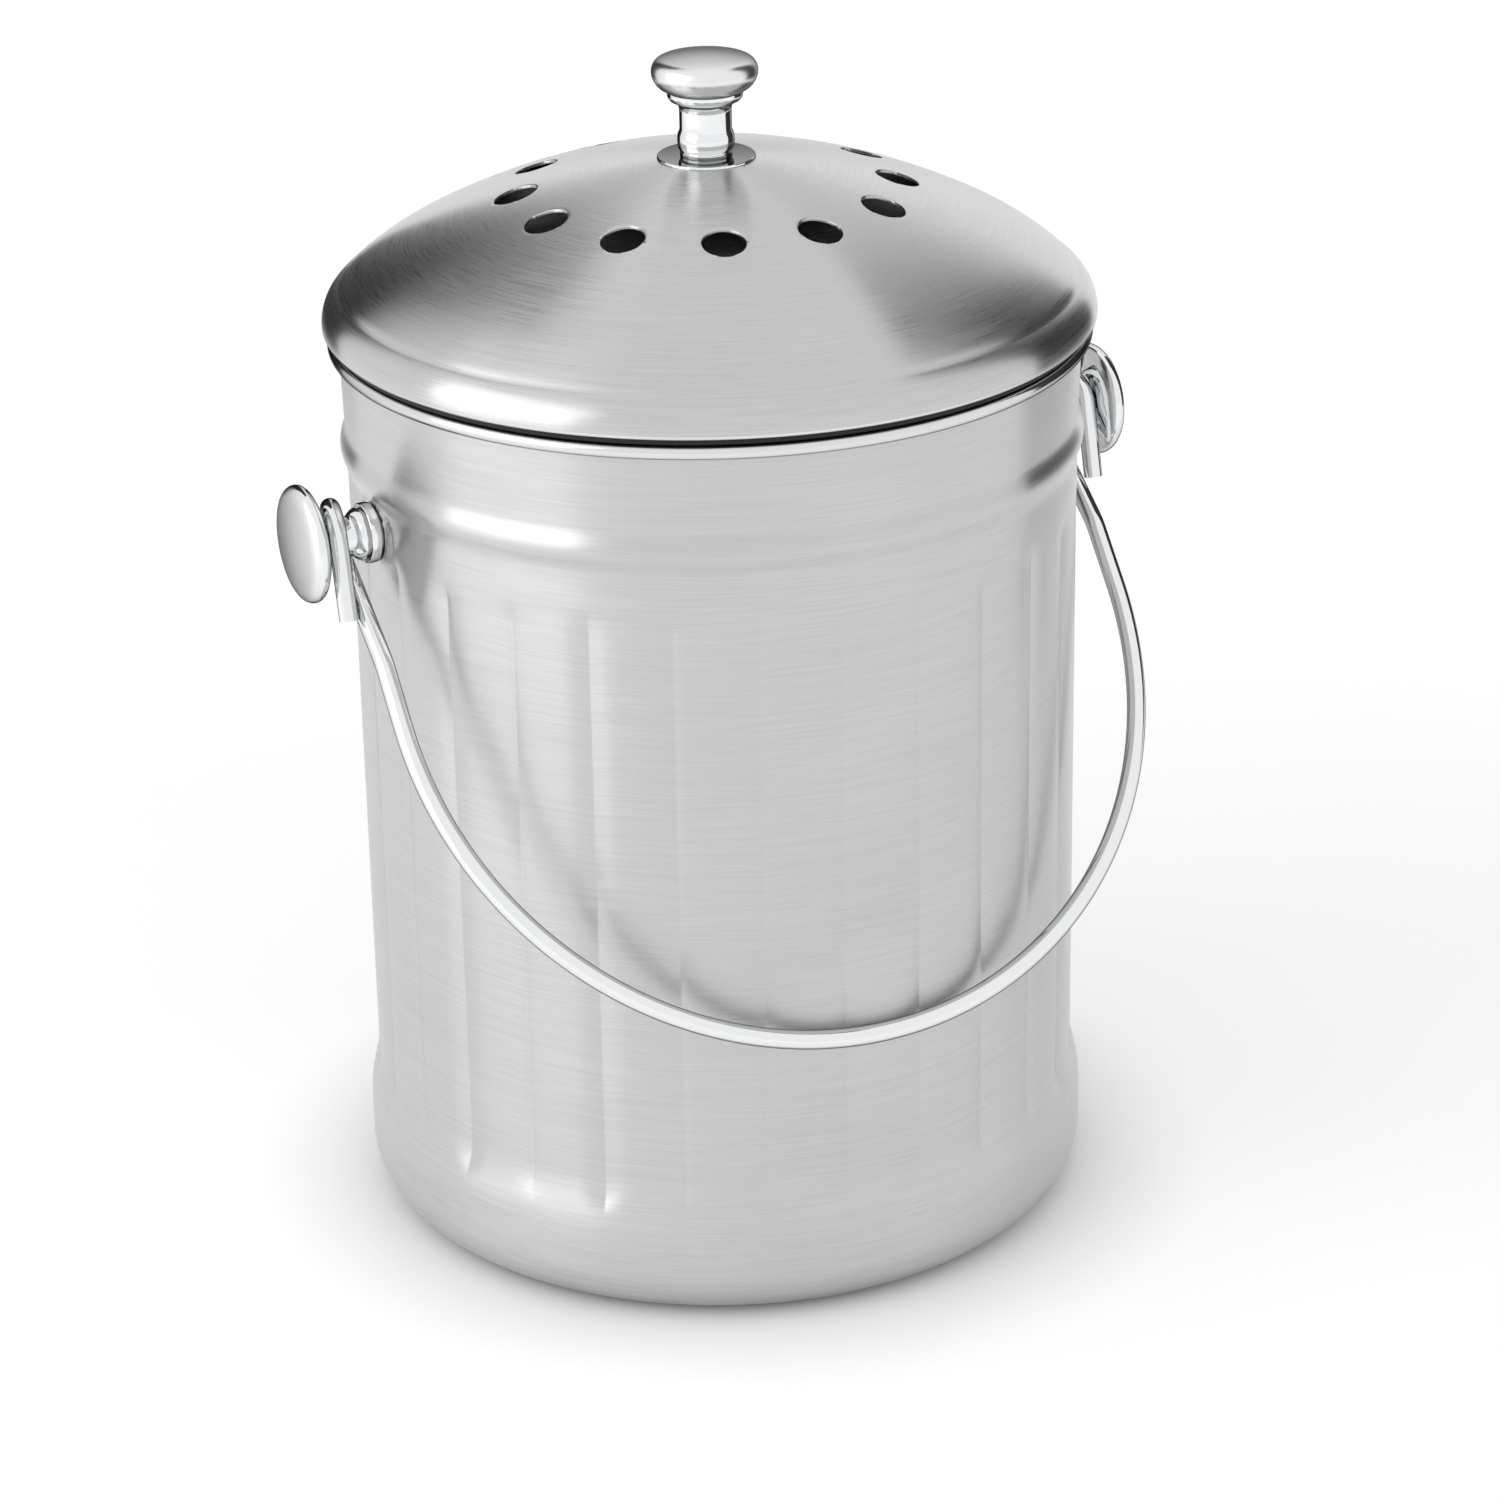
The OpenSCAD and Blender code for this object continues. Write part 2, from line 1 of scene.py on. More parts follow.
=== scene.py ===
# Compost caddy in stainless steel: fluted can, wire bail on turned knobs, vented lid and its filter.
# Lengths in the dictionaries are millimetres and angles are degrees.
import math

import bpy
from mathutils import Matrix, Vector


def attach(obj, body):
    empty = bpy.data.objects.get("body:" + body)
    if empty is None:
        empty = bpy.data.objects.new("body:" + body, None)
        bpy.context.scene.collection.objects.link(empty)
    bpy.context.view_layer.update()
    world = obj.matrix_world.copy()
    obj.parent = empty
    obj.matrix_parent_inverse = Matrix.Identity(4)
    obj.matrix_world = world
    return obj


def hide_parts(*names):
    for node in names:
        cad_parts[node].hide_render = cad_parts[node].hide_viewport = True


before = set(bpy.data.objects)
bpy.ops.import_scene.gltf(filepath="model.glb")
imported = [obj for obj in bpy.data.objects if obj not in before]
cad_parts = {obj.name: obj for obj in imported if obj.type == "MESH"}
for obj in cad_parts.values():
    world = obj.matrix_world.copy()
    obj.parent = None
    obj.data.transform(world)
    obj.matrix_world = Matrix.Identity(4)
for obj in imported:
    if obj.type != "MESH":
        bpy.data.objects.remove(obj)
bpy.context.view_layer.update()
mm = 0.001
print("frame loaded")


# Modelling helpers

def selectNothing():
    if bpy.context.object and bpy.context.object.mode != "OBJECT":
        bpy.ops.object.mode_set(mode="OBJECT")
    bpy.ops.object.select_all(action="DESELECT")


def drawnChain(name, points):
    # One vertex is drawn out along the points, and the object is left in edit mode
    selectNothing()
    bpy.ops.mesh.primitive_plane_add(size=mm)
    piece = bpy.context.object
    piece.name = piece.data.name = name
    bpy.ops.object.mode_set(mode="EDIT")
    bpy.ops.mesh.select_all(action="SELECT")
    bpy.ops.mesh.merge(type="CENTER")
    bpy.ops.transform.translate(value=points[0])
    for start, end in zip(points, points[1:]):
        step = Vector(end) - Vector(start)
        bpy.ops.mesh.extrude_vertices_move(TRANSFORM_OT_translate={"value": step})
    bpy.ops.mesh.select_all(action="SELECT")
    bpy.ops.mesh.remove_doubles(threshold=0.001 * mm)
    return piece


def finishMesh(piece, sharpAngle):
    if piece.mode != "OBJECT":
        bpy.ops.object.mode_set(mode="OBJECT")
    selectNothing()
    piece.select_set(True)
    bpy.context.view_layer.objects.active = piece
    bpy.ops.object.shade_smooth_by_angle(angle=math.radians(sharpAngle))
    return piece


def spunSector(name, points, steps, copies, centre=(0, 0, 0), axis="Z"):
    # A half section is spun through one of the equal sectors of a turned shape, and stays in edit mode
    piece = drawnChain(name, points)
    bpy.ops.mesh.select_all(action="SELECT")
    direction = (1, 0, 0) if axis == "X" else (0, 0, 1)
    bpy.ops.mesh.spin(steps=steps, angle=-math.tau / copies, center=centre, axis=direction)  # minus: anticlockwise
    return piece


def closeCircle(piece, copies, centre=(0, 0, 0), axis="Z", sharpAngle=35):
    # The sector is copied round its axis, seams and poles are merged, and the faces turned outwards
    bpy.ops.mesh.select_all(action="SELECT")
    for _ in range(copies - 1):
        bpy.ops.mesh.duplicate()
        bpy.ops.transform.rotate(value=-math.tau / copies, orient_axis=axis, center_override=centre)
    bpy.ops.mesh.select_all(action="SELECT")
    bpy.ops.mesh.remove_doubles(threshold=0.002 * mm)
    bpy.ops.mesh.normals_make_consistent(inside=False)
    return finishMesh(piece, sharpAngle)


def spun(name, points, steps, centre=(0, 0, 0), axis="Z", sharpAngle=35):
    piece = spunSector(name, points, steps // 4, 4, centre, axis)
    return closeCircle(piece, 4, centre, axis, sharpAngle)


def upright(section):
    # (radius, height) points in mm to a half section beside the Z axis
    return [Vector((r * mm, 0, z * mm)) for r, z in section]


def arcPoints(centreR, centreZ, radius, start, end, steps):
    angles = [math.radians(start + (end - start) * i / steps) for i in range(steps + 1)]
    return [(centreR + radius * math.cos(a), centreZ + radius * math.sin(a)) for a in angles]


def eased(a, b, t):
    t = min(1, max(0, t))
    return a + (b - a) * (1 - math.cos(math.pi * t)) / 2


def softMax(a, b, blend):
    gap = max(blend - abs(a - b), 0)
    return max(a, b) + gap * gap / (4 * blend)


def lerp(a, b, t):
    return a + (b - a) * t


# Materials

def linearColour(hexColour):
    channels = [int(hexColour[i:i + 2], 16) / 255 for i in (1, 3, 5)]
    return [c / 12.92 if c <= 0.04045 else ((c + 0.055) / 1.055) ** 2.4 for c in channels] + [1.0]


def addNode(tree, kind, settings=None, links=None):
    # One node with its settings, and its inputs set to values or linked from sockets
    node = tree.nodes.new(kind)
    for key, value in (settings or {}).items():
        setattr(node, key, value)
    for key, value in (links or {}).items():
        if isinstance(value, bpy.types.NodeSocket):
            tree.links.new(value, node.inputs[key])
        else:
            node.inputs[key].default_value = value
    return node


def newMaterial(name):
    material = bpy.data.materials.new(name)
    material.use_nodes = True
    tree = material.node_tree
    tree.nodes.clear()
    return material, tree


def giveMaterial(piece, material):
    piece.data.materials.clear()
    piece.data.materials.append(material)


def refinish(piece, material, chosen):
    # A second finish on the faces whose middle, in mm, is chosen
    piece.data.materials.append(material)
    for face in piece.data.polygons:
        if chosen(face.center / mm):
            face.material_index = len(piece.data.materials) - 1


def brushedSteel(name, colour, shade, lineHeight, lineLength, roughness, anisotropy, bump):
    # Stainless steel sheet, brushed round the axis while it spun: fine level lines that stretch each reflection up
    # and down and leave it crisp sideways, so the room shows as fans on the lid and as bands on the wall
    material, tree = newMaterial(name)
    place = addNode(tree, "ShaderNodeTexCoord").outputs["Object"]
    parts = addNode(tree, "ShaderNodeSeparateXYZ", links={0: place})
    flat = addNode(tree, "ShaderNodeCombineXYZ", links={"X": parts.outputs["X"], "Y": parts.outputs["Y"]})
    around = addNode(tree, "ShaderNodeVectorMath", {"operation": "NORMALIZE"}, {0: flat.outputs[0]})
    radius = addNode(tree, "ShaderNodeVectorMath", {"operation": "LENGTH"}, {0: flat.outputs[0]})
    down = addNode(tree, "ShaderNodeMath", {"operation": "SUBTRACT"}, {0: parts.outputs["Z"], 1: radius.outputs["Value"]})
    rise = addNode(tree, "ShaderNodeMath", {"operation": "MULTIPLY"}, {0: down.outputs[0], 1: lineLength / lineHeight * 12})
    lift = addNode(tree, "ShaderNodeCombineXYZ", links={"Z": rise.outputs[0]})
    lines = addNode(tree, "ShaderNodeVectorMath", {"operation": "ADD"}, {0: around.outputs[0], 1: lift.outputs[0]})
    fine = addNode(tree, "ShaderNodeTexNoise", links={"Vector": lines.outputs[0], "Scale": 88 / lineLength, "Detail": 4.0, "Roughness": 0.62})
    cloud = addNode(tree, "ShaderNodeTexNoise", links={"Vector": place, "Scale": 22.0, "Detail": 3.0})
    tone = addNode(tree, "ShaderNodeMapRange", links={"Value": fine.outputs["Fac"], "From Min": 0.3, "From Max": 0.7, "To Min": 1 - shade, "To Max": 1 + shade})
    smudge = addNode(tree, "ShaderNodeMapRange", links={"Value": cloud.outputs["Fac"], "From Min": 0.3, "From Max": 0.7, "To Min": 0.975, "To Max": 1.02})
    both = addNode(tree, "ShaderNodeMath", {"operation": "MULTIPLY"}, {0: tone.outputs[0], 1: smudge.outputs[0]})
    tint = addNode(tree, "ShaderNodeVectorMath", {"operation": "SCALE"}, {0: linearColour(colour)[:3], "Scale": both.outputs[0]})
    rough = addNode(tree, "ShaderNodeMapRange", links={"Value": fine.outputs["Fac"], "From Min": 0.3, "From Max": 0.7, "To Min": roughness - 0.035, "To Max": roughness + 0.035})
    grooves = addNode(tree, "ShaderNodeBump", links={"Strength": bump, "Distance": 0.02 * mm, "Height": fine.outputs["Fac"]})
    turn = addNode(tree, "ShaderNodeTangent", {"direction_type": "RADIAL", "axis": "Z"})
    metal = addNode(tree, "ShaderNodeBsdfPrincipled", links={
        "Base Color": tint.outputs[0], "Metallic": 1.0, "Roughness": rough.outputs[0],
        "Anisotropic": anisotropy, "Anisotropic Rotation": 0.25, "Tangent": turn.outputs[0],
        "Normal": grooves.outputs[0],
    })
    addNode(tree, "ShaderNodeOutputMaterial", links={"Surface": metal.outputs[0]})
    return material


def polishedChrome(name, colour, edge, roughness, wear):
    # Chrome plate on turned and drawn steel: near mirror, darker towards its outline as chromium is, with faint
    # handling marks that only blur it a little
    material, tree = newMaterial(name)
    place = addNode(tree, "ShaderNodeTexCoord").outputs["Object"]
    marks = addNode(tree, "ShaderNodeTexNoise", links={"Vector": place, "Scale": 420.0, "Detail": 5.0, "Roughness": 0.6})
    rough = addNode(tree, "ShaderNodeMapRange", links={"Value": marks.outputs["Fac"], "From Min": 0.35, "From Max": 0.75, "To Min": roughness, "To Max": roughness + wear})
    ripple = addNode(tree, "ShaderNodeBump", links={"Strength": 0.05, "Distance": 0.02 * mm, "Height": marks.outputs["Fac"]})
    metal = addNode(tree, "ShaderNodeBsdfPrincipled", links={
        "Base Color": linearColour(colour), "Metallic": 1.0, "Roughness": rough.outputs[0],
        "Specular Tint": linearColour(edge), "Normal": ripple.outputs[0],
    })
    addNode(tree, "ShaderNodeOutputMaterial", links={"Surface": metal.outputs[0]})
    return material


def mouldedBlack(name, colour, roughness, grain, depth):
    # Silicone or moulded plastic: a near black skin with a fine even grain and soft sheen
    material, tree = newMaterial(name)
    place = addNode(tree, "ShaderNodeTexCoord").outputs["Object"]
    skin = addNode(tree, "ShaderNodeTexNoise", links={"Vector": place, "Scale": 1 / (grain * mm), "Detail": 3.0})
    dust = addNode(tree, "ShaderNodeTexNoise", links={"Vector": place, "Scale": 60.0, "Detail": 4.0})
    base = linearColour(colour)
    tint = addNode(tree, "ShaderNodeMix", {"data_type": "RGBA"}, {
        "Factor": dust.outputs["Fac"], 6: base, 7: [min(1, c * 1.6 + 0.004) for c in base[:3]] + [1.0],
    })
    texture = addNode(tree, "ShaderNodeBump", links={"Strength": 0.35, "Distance": depth * mm, "Height": skin.outputs["Fac"]})
    rough = addNode(tree, "ShaderNodeMapRange", links={"Value": dust.outputs["Fac"], "To Min": roughness - 0.06, "To Max": roughness + 0.06})
    body = addNode(tree, "ShaderNodeBsdfPrincipled", links={
        "Base Color": tint.outputs[2], "Roughness": rough.outputs[0], "Normal": texture.outputs[0],
    })
    addNode(tree, "ShaderNodeOutputMaterial", links={"Surface": body.outputs[0]})
    return material


def charcoalFelt(name, colour):
    # Needled felt loaded with charcoal: matted fibres about 0.6 mm apart with small darker pits
    material, tree = newMaterial(name)
    place = addNode(tree, "ShaderNodeTexCoord").outputs["Object"]
    fibres = addNode(tree, "ShaderNodeTexNoise", links={"Vector": place, "Scale": 900.0, "Detail": 6.0, "Roughness": 0.75, "Distortion": 1.6})
    pits = addNode(tree, "ShaderNodeTexVoronoi", links={"Vector": place, "Scale": 500.0})
    base = linearColour(colour)
    tint = addNode(tree, "ShaderNodeMix", {"data_type": "RGBA"}, {
        "Factor": fibres.outputs["Fac"], 6: [c * 0.45 for c in base[:3]] + [1.0], 7: [c * 1.9 for c in base[:3]] + [1.0],
    })
    mixed = addNode(tree, "ShaderNodeMath", {"operation": "ADD"}, {0: fibres.outputs["Fac"], 1: pits.outputs["Distance"]})
    texture = addNode(tree, "ShaderNodeBump", links={"Strength": 0.9, "Distance": 0.4 * mm, "Height": mixed.outputs[0]})
    body = addNode(tree, "ShaderNodeBsdfPrincipled", links={
        "Base Color": tint.outputs[2], "Roughness": 0.95, "Sheen Weight": 0.25, "Normal": texture.outputs[0],
    })
    addNode(tree, "ShaderNodeOutputMaterial", links={"Surface": body.outputs[0]})
    return material


canSteel = brushedSteel("brushedSteelWall", "#c8c8c8", 0.07, 0.5, 26, 0.31, 0.9, 0.1)
lidSteel = brushedSteel("brushedSteelLid", "#c8c8c8", 0.08, 0.5, 22, 0.29, 0.92, 0.12)
chrome = polishedChrome("polishedChrome", "#eaebec", "#1c1d1e", 0.05, 0.04)
satinChrome = polishedChrome("satinChrome", "#e8e8e8", "#505152", 0.25, 0.02)
polishedSteel = polishedChrome("polishedSteelEdge", "#dcdcdc", "#3a3b3c", 0.11, 0.06)
zincSteel = polishedChrome("zincPlate", "#b4b7ba", "#c8cacc", 0.28, 0.16)
silicone = mouldedBlack("blackSilicone", "#030303", 0.62, 0.5, 0.02)
holderPlastic = mouldedBlack("blackPolypropylene", "#17181a", 0.42, 0.35, 0.03)
feltCharcoal = charcoalFelt("charcoalFelt", "#3a3b3d")
print("materials made")


# Can: base, rounded foot, fluted wall, shoulder bead and rolled rim in one skin of sheet steel

can = {
    "wall": 88.1, "sheet": 0.7, "flutes": 28, "creaseDepth": 0.75, "creasePower": 3.0,
    "creaseFoot": (26.5, 34), "creaseHead": (177, 183.5),
    "foot": 90.4, "footTop": 22, "flareTop": 37, "footFillet": 12.8,
    "grooveRadius": 55, "grooveWidth": 6, "grooveDepth": 0.9,
    "beadMiddle": 197.3, "beadHalf": 5.6, "beadHeight": 1.4,
    "mouth": 88.2, "rimRoll": 1.7, "rimTop": 224.3,
    "seatX": 88.9, "seatRadius": 7.7, "seatSlope": 3.4, "pivotZ": 186.2,
}
# Where the columns of the mesh lie across one flute: close together at its creases
fluteColumns = [0, 0.018, 0.045, 0.09, 0.16, 0.24, 0.32, 0.41, 0.5, 0.59, 0.68, 0.76, 0.84, 0.91, 0.955, 0.982]


def smoothRadius(z):
    # Outside of the can without its creases: foot, flare, wall, bead and the collar that opens a little to the mouth
    if z < can["flareTop"]:
        return eased(can["foot"], can["wall"], (z - can["footTop"]) / (can["flareTop"] - can["footTop"]))
    start = can["beadMiddle"] - can["beadHalf"]
    rise = (z - start) / (can["rimTop"] - can["rimRoll"] - start)
    radius = lerp(can["wall"], can["mouth"] + can["sheet"], min(1, max(0, rise)))
    away = (z - can["beadMiddle"]) / can["beadHalf"]
    if abs(away) < 1:
        radius += can["beadHeight"] * (1 + math.cos(math.pi * away)) / 2
    return radius


def creaseDepth(away, z):
    # How far a crease sinks the wall, at an angle from the middle of its flute: near nothing there, most at its edge
    share = abs(away) * can["flutes"] / math.pi
    low, high = can["creaseFoot"], can["creaseHead"]
    fade = eased(0, 1, (z - low[0]) / (low[1] - low[0])) * eased(1, 0, (z - high[0]) / (high[1] - high[0]))
    return can["creaseDepth"] * share ** can["creasePower"] * fade


def makeCan():
    sheet = can["sheet"]
    flat = can["foot"] - can["footFillet"]
    rimMiddle = (can["mouth"] + can["rimRoll"] - 0.05, can["rimTop"] - can["rimRoll"])
    groove = [(-0.5, 0), (-0.36, 0.4), (-0.22, 0.92), (0, 1), (0.22, 0.92), (0.36, 0.4), (0.5, 0)]
    rows = [can["footFillet"] + (can["footTop"] - can["footFillet"]) * i / 4 for i in range(1, 4)]
    rows += [can["footTop"] + 0.8 * i for i in range(22)]
    rows += [42, 50, 62, 80, 100, 120, 140, 155, 165, 171]
    rows += [174 + 0.7 * i for i in range(24)]
    rows += [can["beadMiddle"] - can["beadHalf"] + 2 * can["beadHalf"] * i / 16 for i in range(17)]
    rows += [205.5, 208, 212, 216, 219, 221]

    def skin(inset, rows):
        base = [(can["grooveRadius"] + can["grooveWidth"] * u, inset + can["grooveDepth"] * v) for u, v in groove]
        corner = arcPoints(flat, can["footFillet"], can["footFillet"] - inset, -90, 0, 12)
        wall = [(can["wall"] - inset, z) for z in rows]
        return [(0, inset), (20, inset), (40, inset)] + base + [(66, inset)] + corner + wall

    outer = skin(0, rows)
    inner = skin(sheet, rows[::-2][::-1])  # half as many rows inside
    roll = arcPoints(rimMiddle[0], rimMiddle[1], can["rimRoll"], -122, 180, 22)
    piece = spun("flutedCan", upright(outer + roll + inner[::-1]), can["flutes"] * len(fluteColumns), sharpAngle=50)
    pitch = math.tau / can["flutes"]
    count = len(fluteColumns)
    top = can["rimTop"] - 2 * can["rimRoll"] + 0.1
    for vertex in piece.data.vertices:
        x, y, z = vertex.co / mm
        radius = math.hypot(x, y)
        if radius < flat or radius < 1:
            continue
        angle = math.atan2(y, x)
        column = round(angle / (pitch / count))
        flute, part = divmod(column + count // 2, count)
        away = (fluteColumns[part] - 0.5) * pitch
        angle = flute * pitch + away
        if can["footFillet"] + 0.1 < z < top and radius < can["wall"] + 0.5:
            inset = sheet if radius < can["wall"] - sheet / 2 else 0
            radius = smoothRadius(z) - creaseDepth(away, z)
            # The seat pressed out for a side knob
            apart = math.hypot(radius * math.sin(angle), z - can["pivotZ"])
            if apart < 16:
                across = abs(radius * math.cos(angle))
                slope = (apart - can["seatRadius"]) / can["seatSlope"]
                pressed = eased(can["seatX"], can["seatX"] - 3.0, slope)
                across = softMax(across, pressed, 0.5) if apart > can["seatRadius"] else max(across, pressed)
                side = math.copysign(1, math.cos(angle))
                y = radius * math.sin(angle)
                vertex.co = Vector((side * (across - inset), y, z)) * mm
                continue
            radius -= inset
        vertex.co = Vector((radius * math.cos(angle), radius * math.sin(angle), z)) * mm
    piece.data.update()
    finishMesh(piece, 40)
    giveMaterial(piece, canSteel)
    rollFoot = can["rimTop"] - 1.8 * can["rimRoll"]
    refinish(piece, polishedSteel, lambda spot: spot.z > rollFoot and math.hypot(spot.x, spot.y) > can["mouth"] + can["sheet"] + 0.1)
    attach(piece, "can")
    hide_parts("can_body")
    return piece


makeCan()
print("can made")


# Lid: a dome that is steepest at its shoulder, a small rolled hem, and a ring of pierced vents

lid = {
    "edge": 92.59, "edgeZ": 227.1, "sheet": 0.7, "shoulder": 9, "shoulderSlope": 44,
    "flank": 70, "flankSlope": 28, "crown": 175, "seat": 12.2, "hem": 1.05,
    "vents": 12, "ventRing": 45.3, "vent": 5.2, "ventTurn": 9, "ventColumns": 6, "ventRows": 5, "ventLip": 0.28,
}


def lidCentres():
    steep, gentle = math.radians(lid["shoulderSlope"]), math.radians(lid["flankSlope"])
    shoulderR = lid["edge"] - lid["shoulder"]
    flankR = shoulderR + (lid["shoulder"] - lid["flank"]) * math.sin(steep)
    flankZ = lid["edgeZ"] + (lid["shoulder"] - lid["flank"]) * math.cos(steep)
    crownR = flankR + (lid["flank"] - lid["crown"]) * math.sin(gentle)
    crownZ = flankZ + (lid["flank"] - lid["crown"]) * math.cos(gentle)
    return shoulderR, flankR, flankZ, crownR, crownZ


shoulderR, flankR, flankZ, crownR, crownZ = lidCentres()
seatSlope = math.degrees(math.asin((lid["seat"] - crownR) / lid["crown"]))
lidTop = crownZ + lid["crown"] * math.cos(math.radians(seatSlope))


def lidHeight(radius, inset=0):
    if radius < lid["seat"]:
        return lidTop - inset
    if radius < crownR + lid["crown"] * math.sin(math.radians(lid["flankSlope"])):
        return crownZ + math.sqrt((lid["crown"] - inset) ** 2 - (radius - crownR) ** 2)
    if radius < flankR + lid["flank"] * math.sin(math.radians(lid["shoulderSlope"])):
        return flankZ + math.sqrt((lid["flank"] - inset) ** 2 - (radius - flankR) ** 2)
    return lid["edgeZ"] + math.sqrt(max(0, (lid["shoulder"] - inset) ** 2 - (radius - shoulderR) ** 2))


def makeLid():
    sector = 360 // lid["vents"]
    rowStep = 0.95
    near = 2 * lid["ventRows"]
    ventRows = [lid["ventRing"] + rowStep * i for i in range(-near, near + 1)]
    rows = [0.001, 4, 8, 11, 12.2, 13, 14.5, 17, 20, 24, 28, 32] + ventRows
    rows += [57.5, 60, 63, 66, 69, 71.5, 74, 76.5, 79, 81, 83, 84.5, 86, 87.3]
    shoulder = arcPoints(shoulderR, lid["edgeZ"], lid["shoulder"], 62, 0, 16)
    inside = arcPoints(shoulderR, lid["edgeZ"], lid["shoulder"] - lid["sheet"], 0, 62, 10)
    hem = arcPoints(lid["edge"] - lid["hem"], lid["edgeZ"], lid["hem"], -12, -250, 14)
    outer = [(r, lidHeight(r)) for r in rows]
    inner = [(r, lidHeight(r, lid["sheet"])) for r in rows]
    section = outer + shoulder + hem + [p for p in inside if p[1] > lid["edgeZ"] + 0.9] + inner[::-1]
    section[0], section[-1] = (0, lidTop), (0, lidTop - lid["sheet"])
    piece = spunSector("ventedLid", upright(section), sector, lid["vents"])
    bpy.ops.mesh.select_all(action="DESELECT")
    bpy.ops.object.mode_set(mode="OBJECT")

    # Round the vent in the middle of the sector the square cells are drawn into circles, and the middle ones go
    step = math.radians(1)
    middle = sector / 2 * step
    for vertex in piece.data.vertices:
        x, y, z = vertex.co / mm
        radius = math.hypot(x, y)
        if abs(radius - lid["ventRing"]) > near * rowStep + 0.1 or z < 240:
            continue
        inset = 0 if z > lidHeight(radius, lid["sheet"] / 2) else lid["sheet"]
        column = (math.atan2(y, x) - middle) / step
        row = (radius - lid["ventRing"]) / rowStep
        u, v = column / lid["ventColumns"], row / lid["ventRows"]
        square = max(abs(u), abs(v))
        if square > 2:
            continue
        if square < 0.99:
            vertex.select = True
            continue
        length = math.hypot(u, v)
        reach = lid["vent"] + lid["ventRows"] * rowStep * (square - 1) * 1.04
        blend = eased(0, 1, square - 1)
        across = lerp(reach * u / length, column * step * lid["ventRing"], blend)
        along = lerp(reach * v / length, row * rowStep, blend)
        newRadius = lid["ventRing"] + along
        newAngle = middle + across / lid["ventRing"]
        vertex.co = Vector((newRadius * math.cos(newAngle), newRadius * math.sin(newAngle), lidHeight(newRadius, inset))) * mm
    bpy.ops.object.mode_set(mode="EDIT")
    bpy.ops.mesh.select_mode(type="VERT")
    bpy.ops.mesh.delete(type="VERT")
    bpy.ops.object.mode_set(mode="OBJECT")
    centre = Vector((math.cos(middle), math.sin(middle), 0)) * lid["ventRing"] * mm
    for vertex in piece.data.vertices:
        apart = Vector((vertex.co.x, vertex.co.y, 0)) - centre
        vertex.select = apart.length < (lid["vent"] + 0.15) * mm and vertex.co.z > 0.24
    bpy.ops.object.mode_set(mode="EDIT")
    bpy.ops.mesh.select_mode(type="EDGE")
    bpy.ops.mesh.bridge_edge_loops()
    bpy.ops.mesh.select_all(action="DESELECT")
    bpy.ops.object.mode_set(mode="OBJECT")
    for edge in piece.data.edges:
        ends = [piece.data.vertices[index].co for index in edge.vertices]
        reaches = [(Vector((end.x, end.y, 0)) - centre).length for end in ends]
        upper = min(ends[0].z - lidHeight(math.hypot(*ends[0].xy) / mm, 0.2) * mm, ends[1].z - lidHeight(math.hypot(*ends[1].xy) / mm, 0.2) * mm)
        edge.select = max(reaches) < (lid["vent"] + 0.05) * mm and upper > 0
    bpy.ops.object.mode_set(mode="EDIT")
    bpy.ops.mesh.bevel(offset=lid["ventLip"] * mm, segments=3, affect="EDGES")
    bpy.ops.mesh.select_mode(type="VERT")
    bpy.ops.mesh.select_all(action="SELECT")
    bpy.ops.transform.rotate(value=middle - math.radians(lid["ventTurn"]), orient_axis="Z", center_override=(0, 0, 0))
    closeCircle(piece, lid["vents"], sharpAngle=35)
    giveMaterial(piece, lidSteel)
    refinish(piece, polishedSteel, lambda spot: spot.z < lid["edgeZ"] + 0.2 and math.hypot(spot.x, spot.y) > lid["edge"] - 1.6 * lid["hem"])
    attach(piece, "lid")
    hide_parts("lid_dome")
    return piece


makeLid()
print("lid made")


# Lid knob: bulb, neck, cove and crowned cap on a thin spacer and a disc

lidKnob = {"discRadius": 11.7, "discThickness": 0.6, "spacerRadius": 6.2, "spacerHeight": 1.3}


def polishedTurning(name, section, body, node):
    piece = spun(name, upright(section), 96, sharpAngle=28)
    giveMaterial(piece, chrome)
    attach(piece, body)
    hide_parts(node)
    return piece


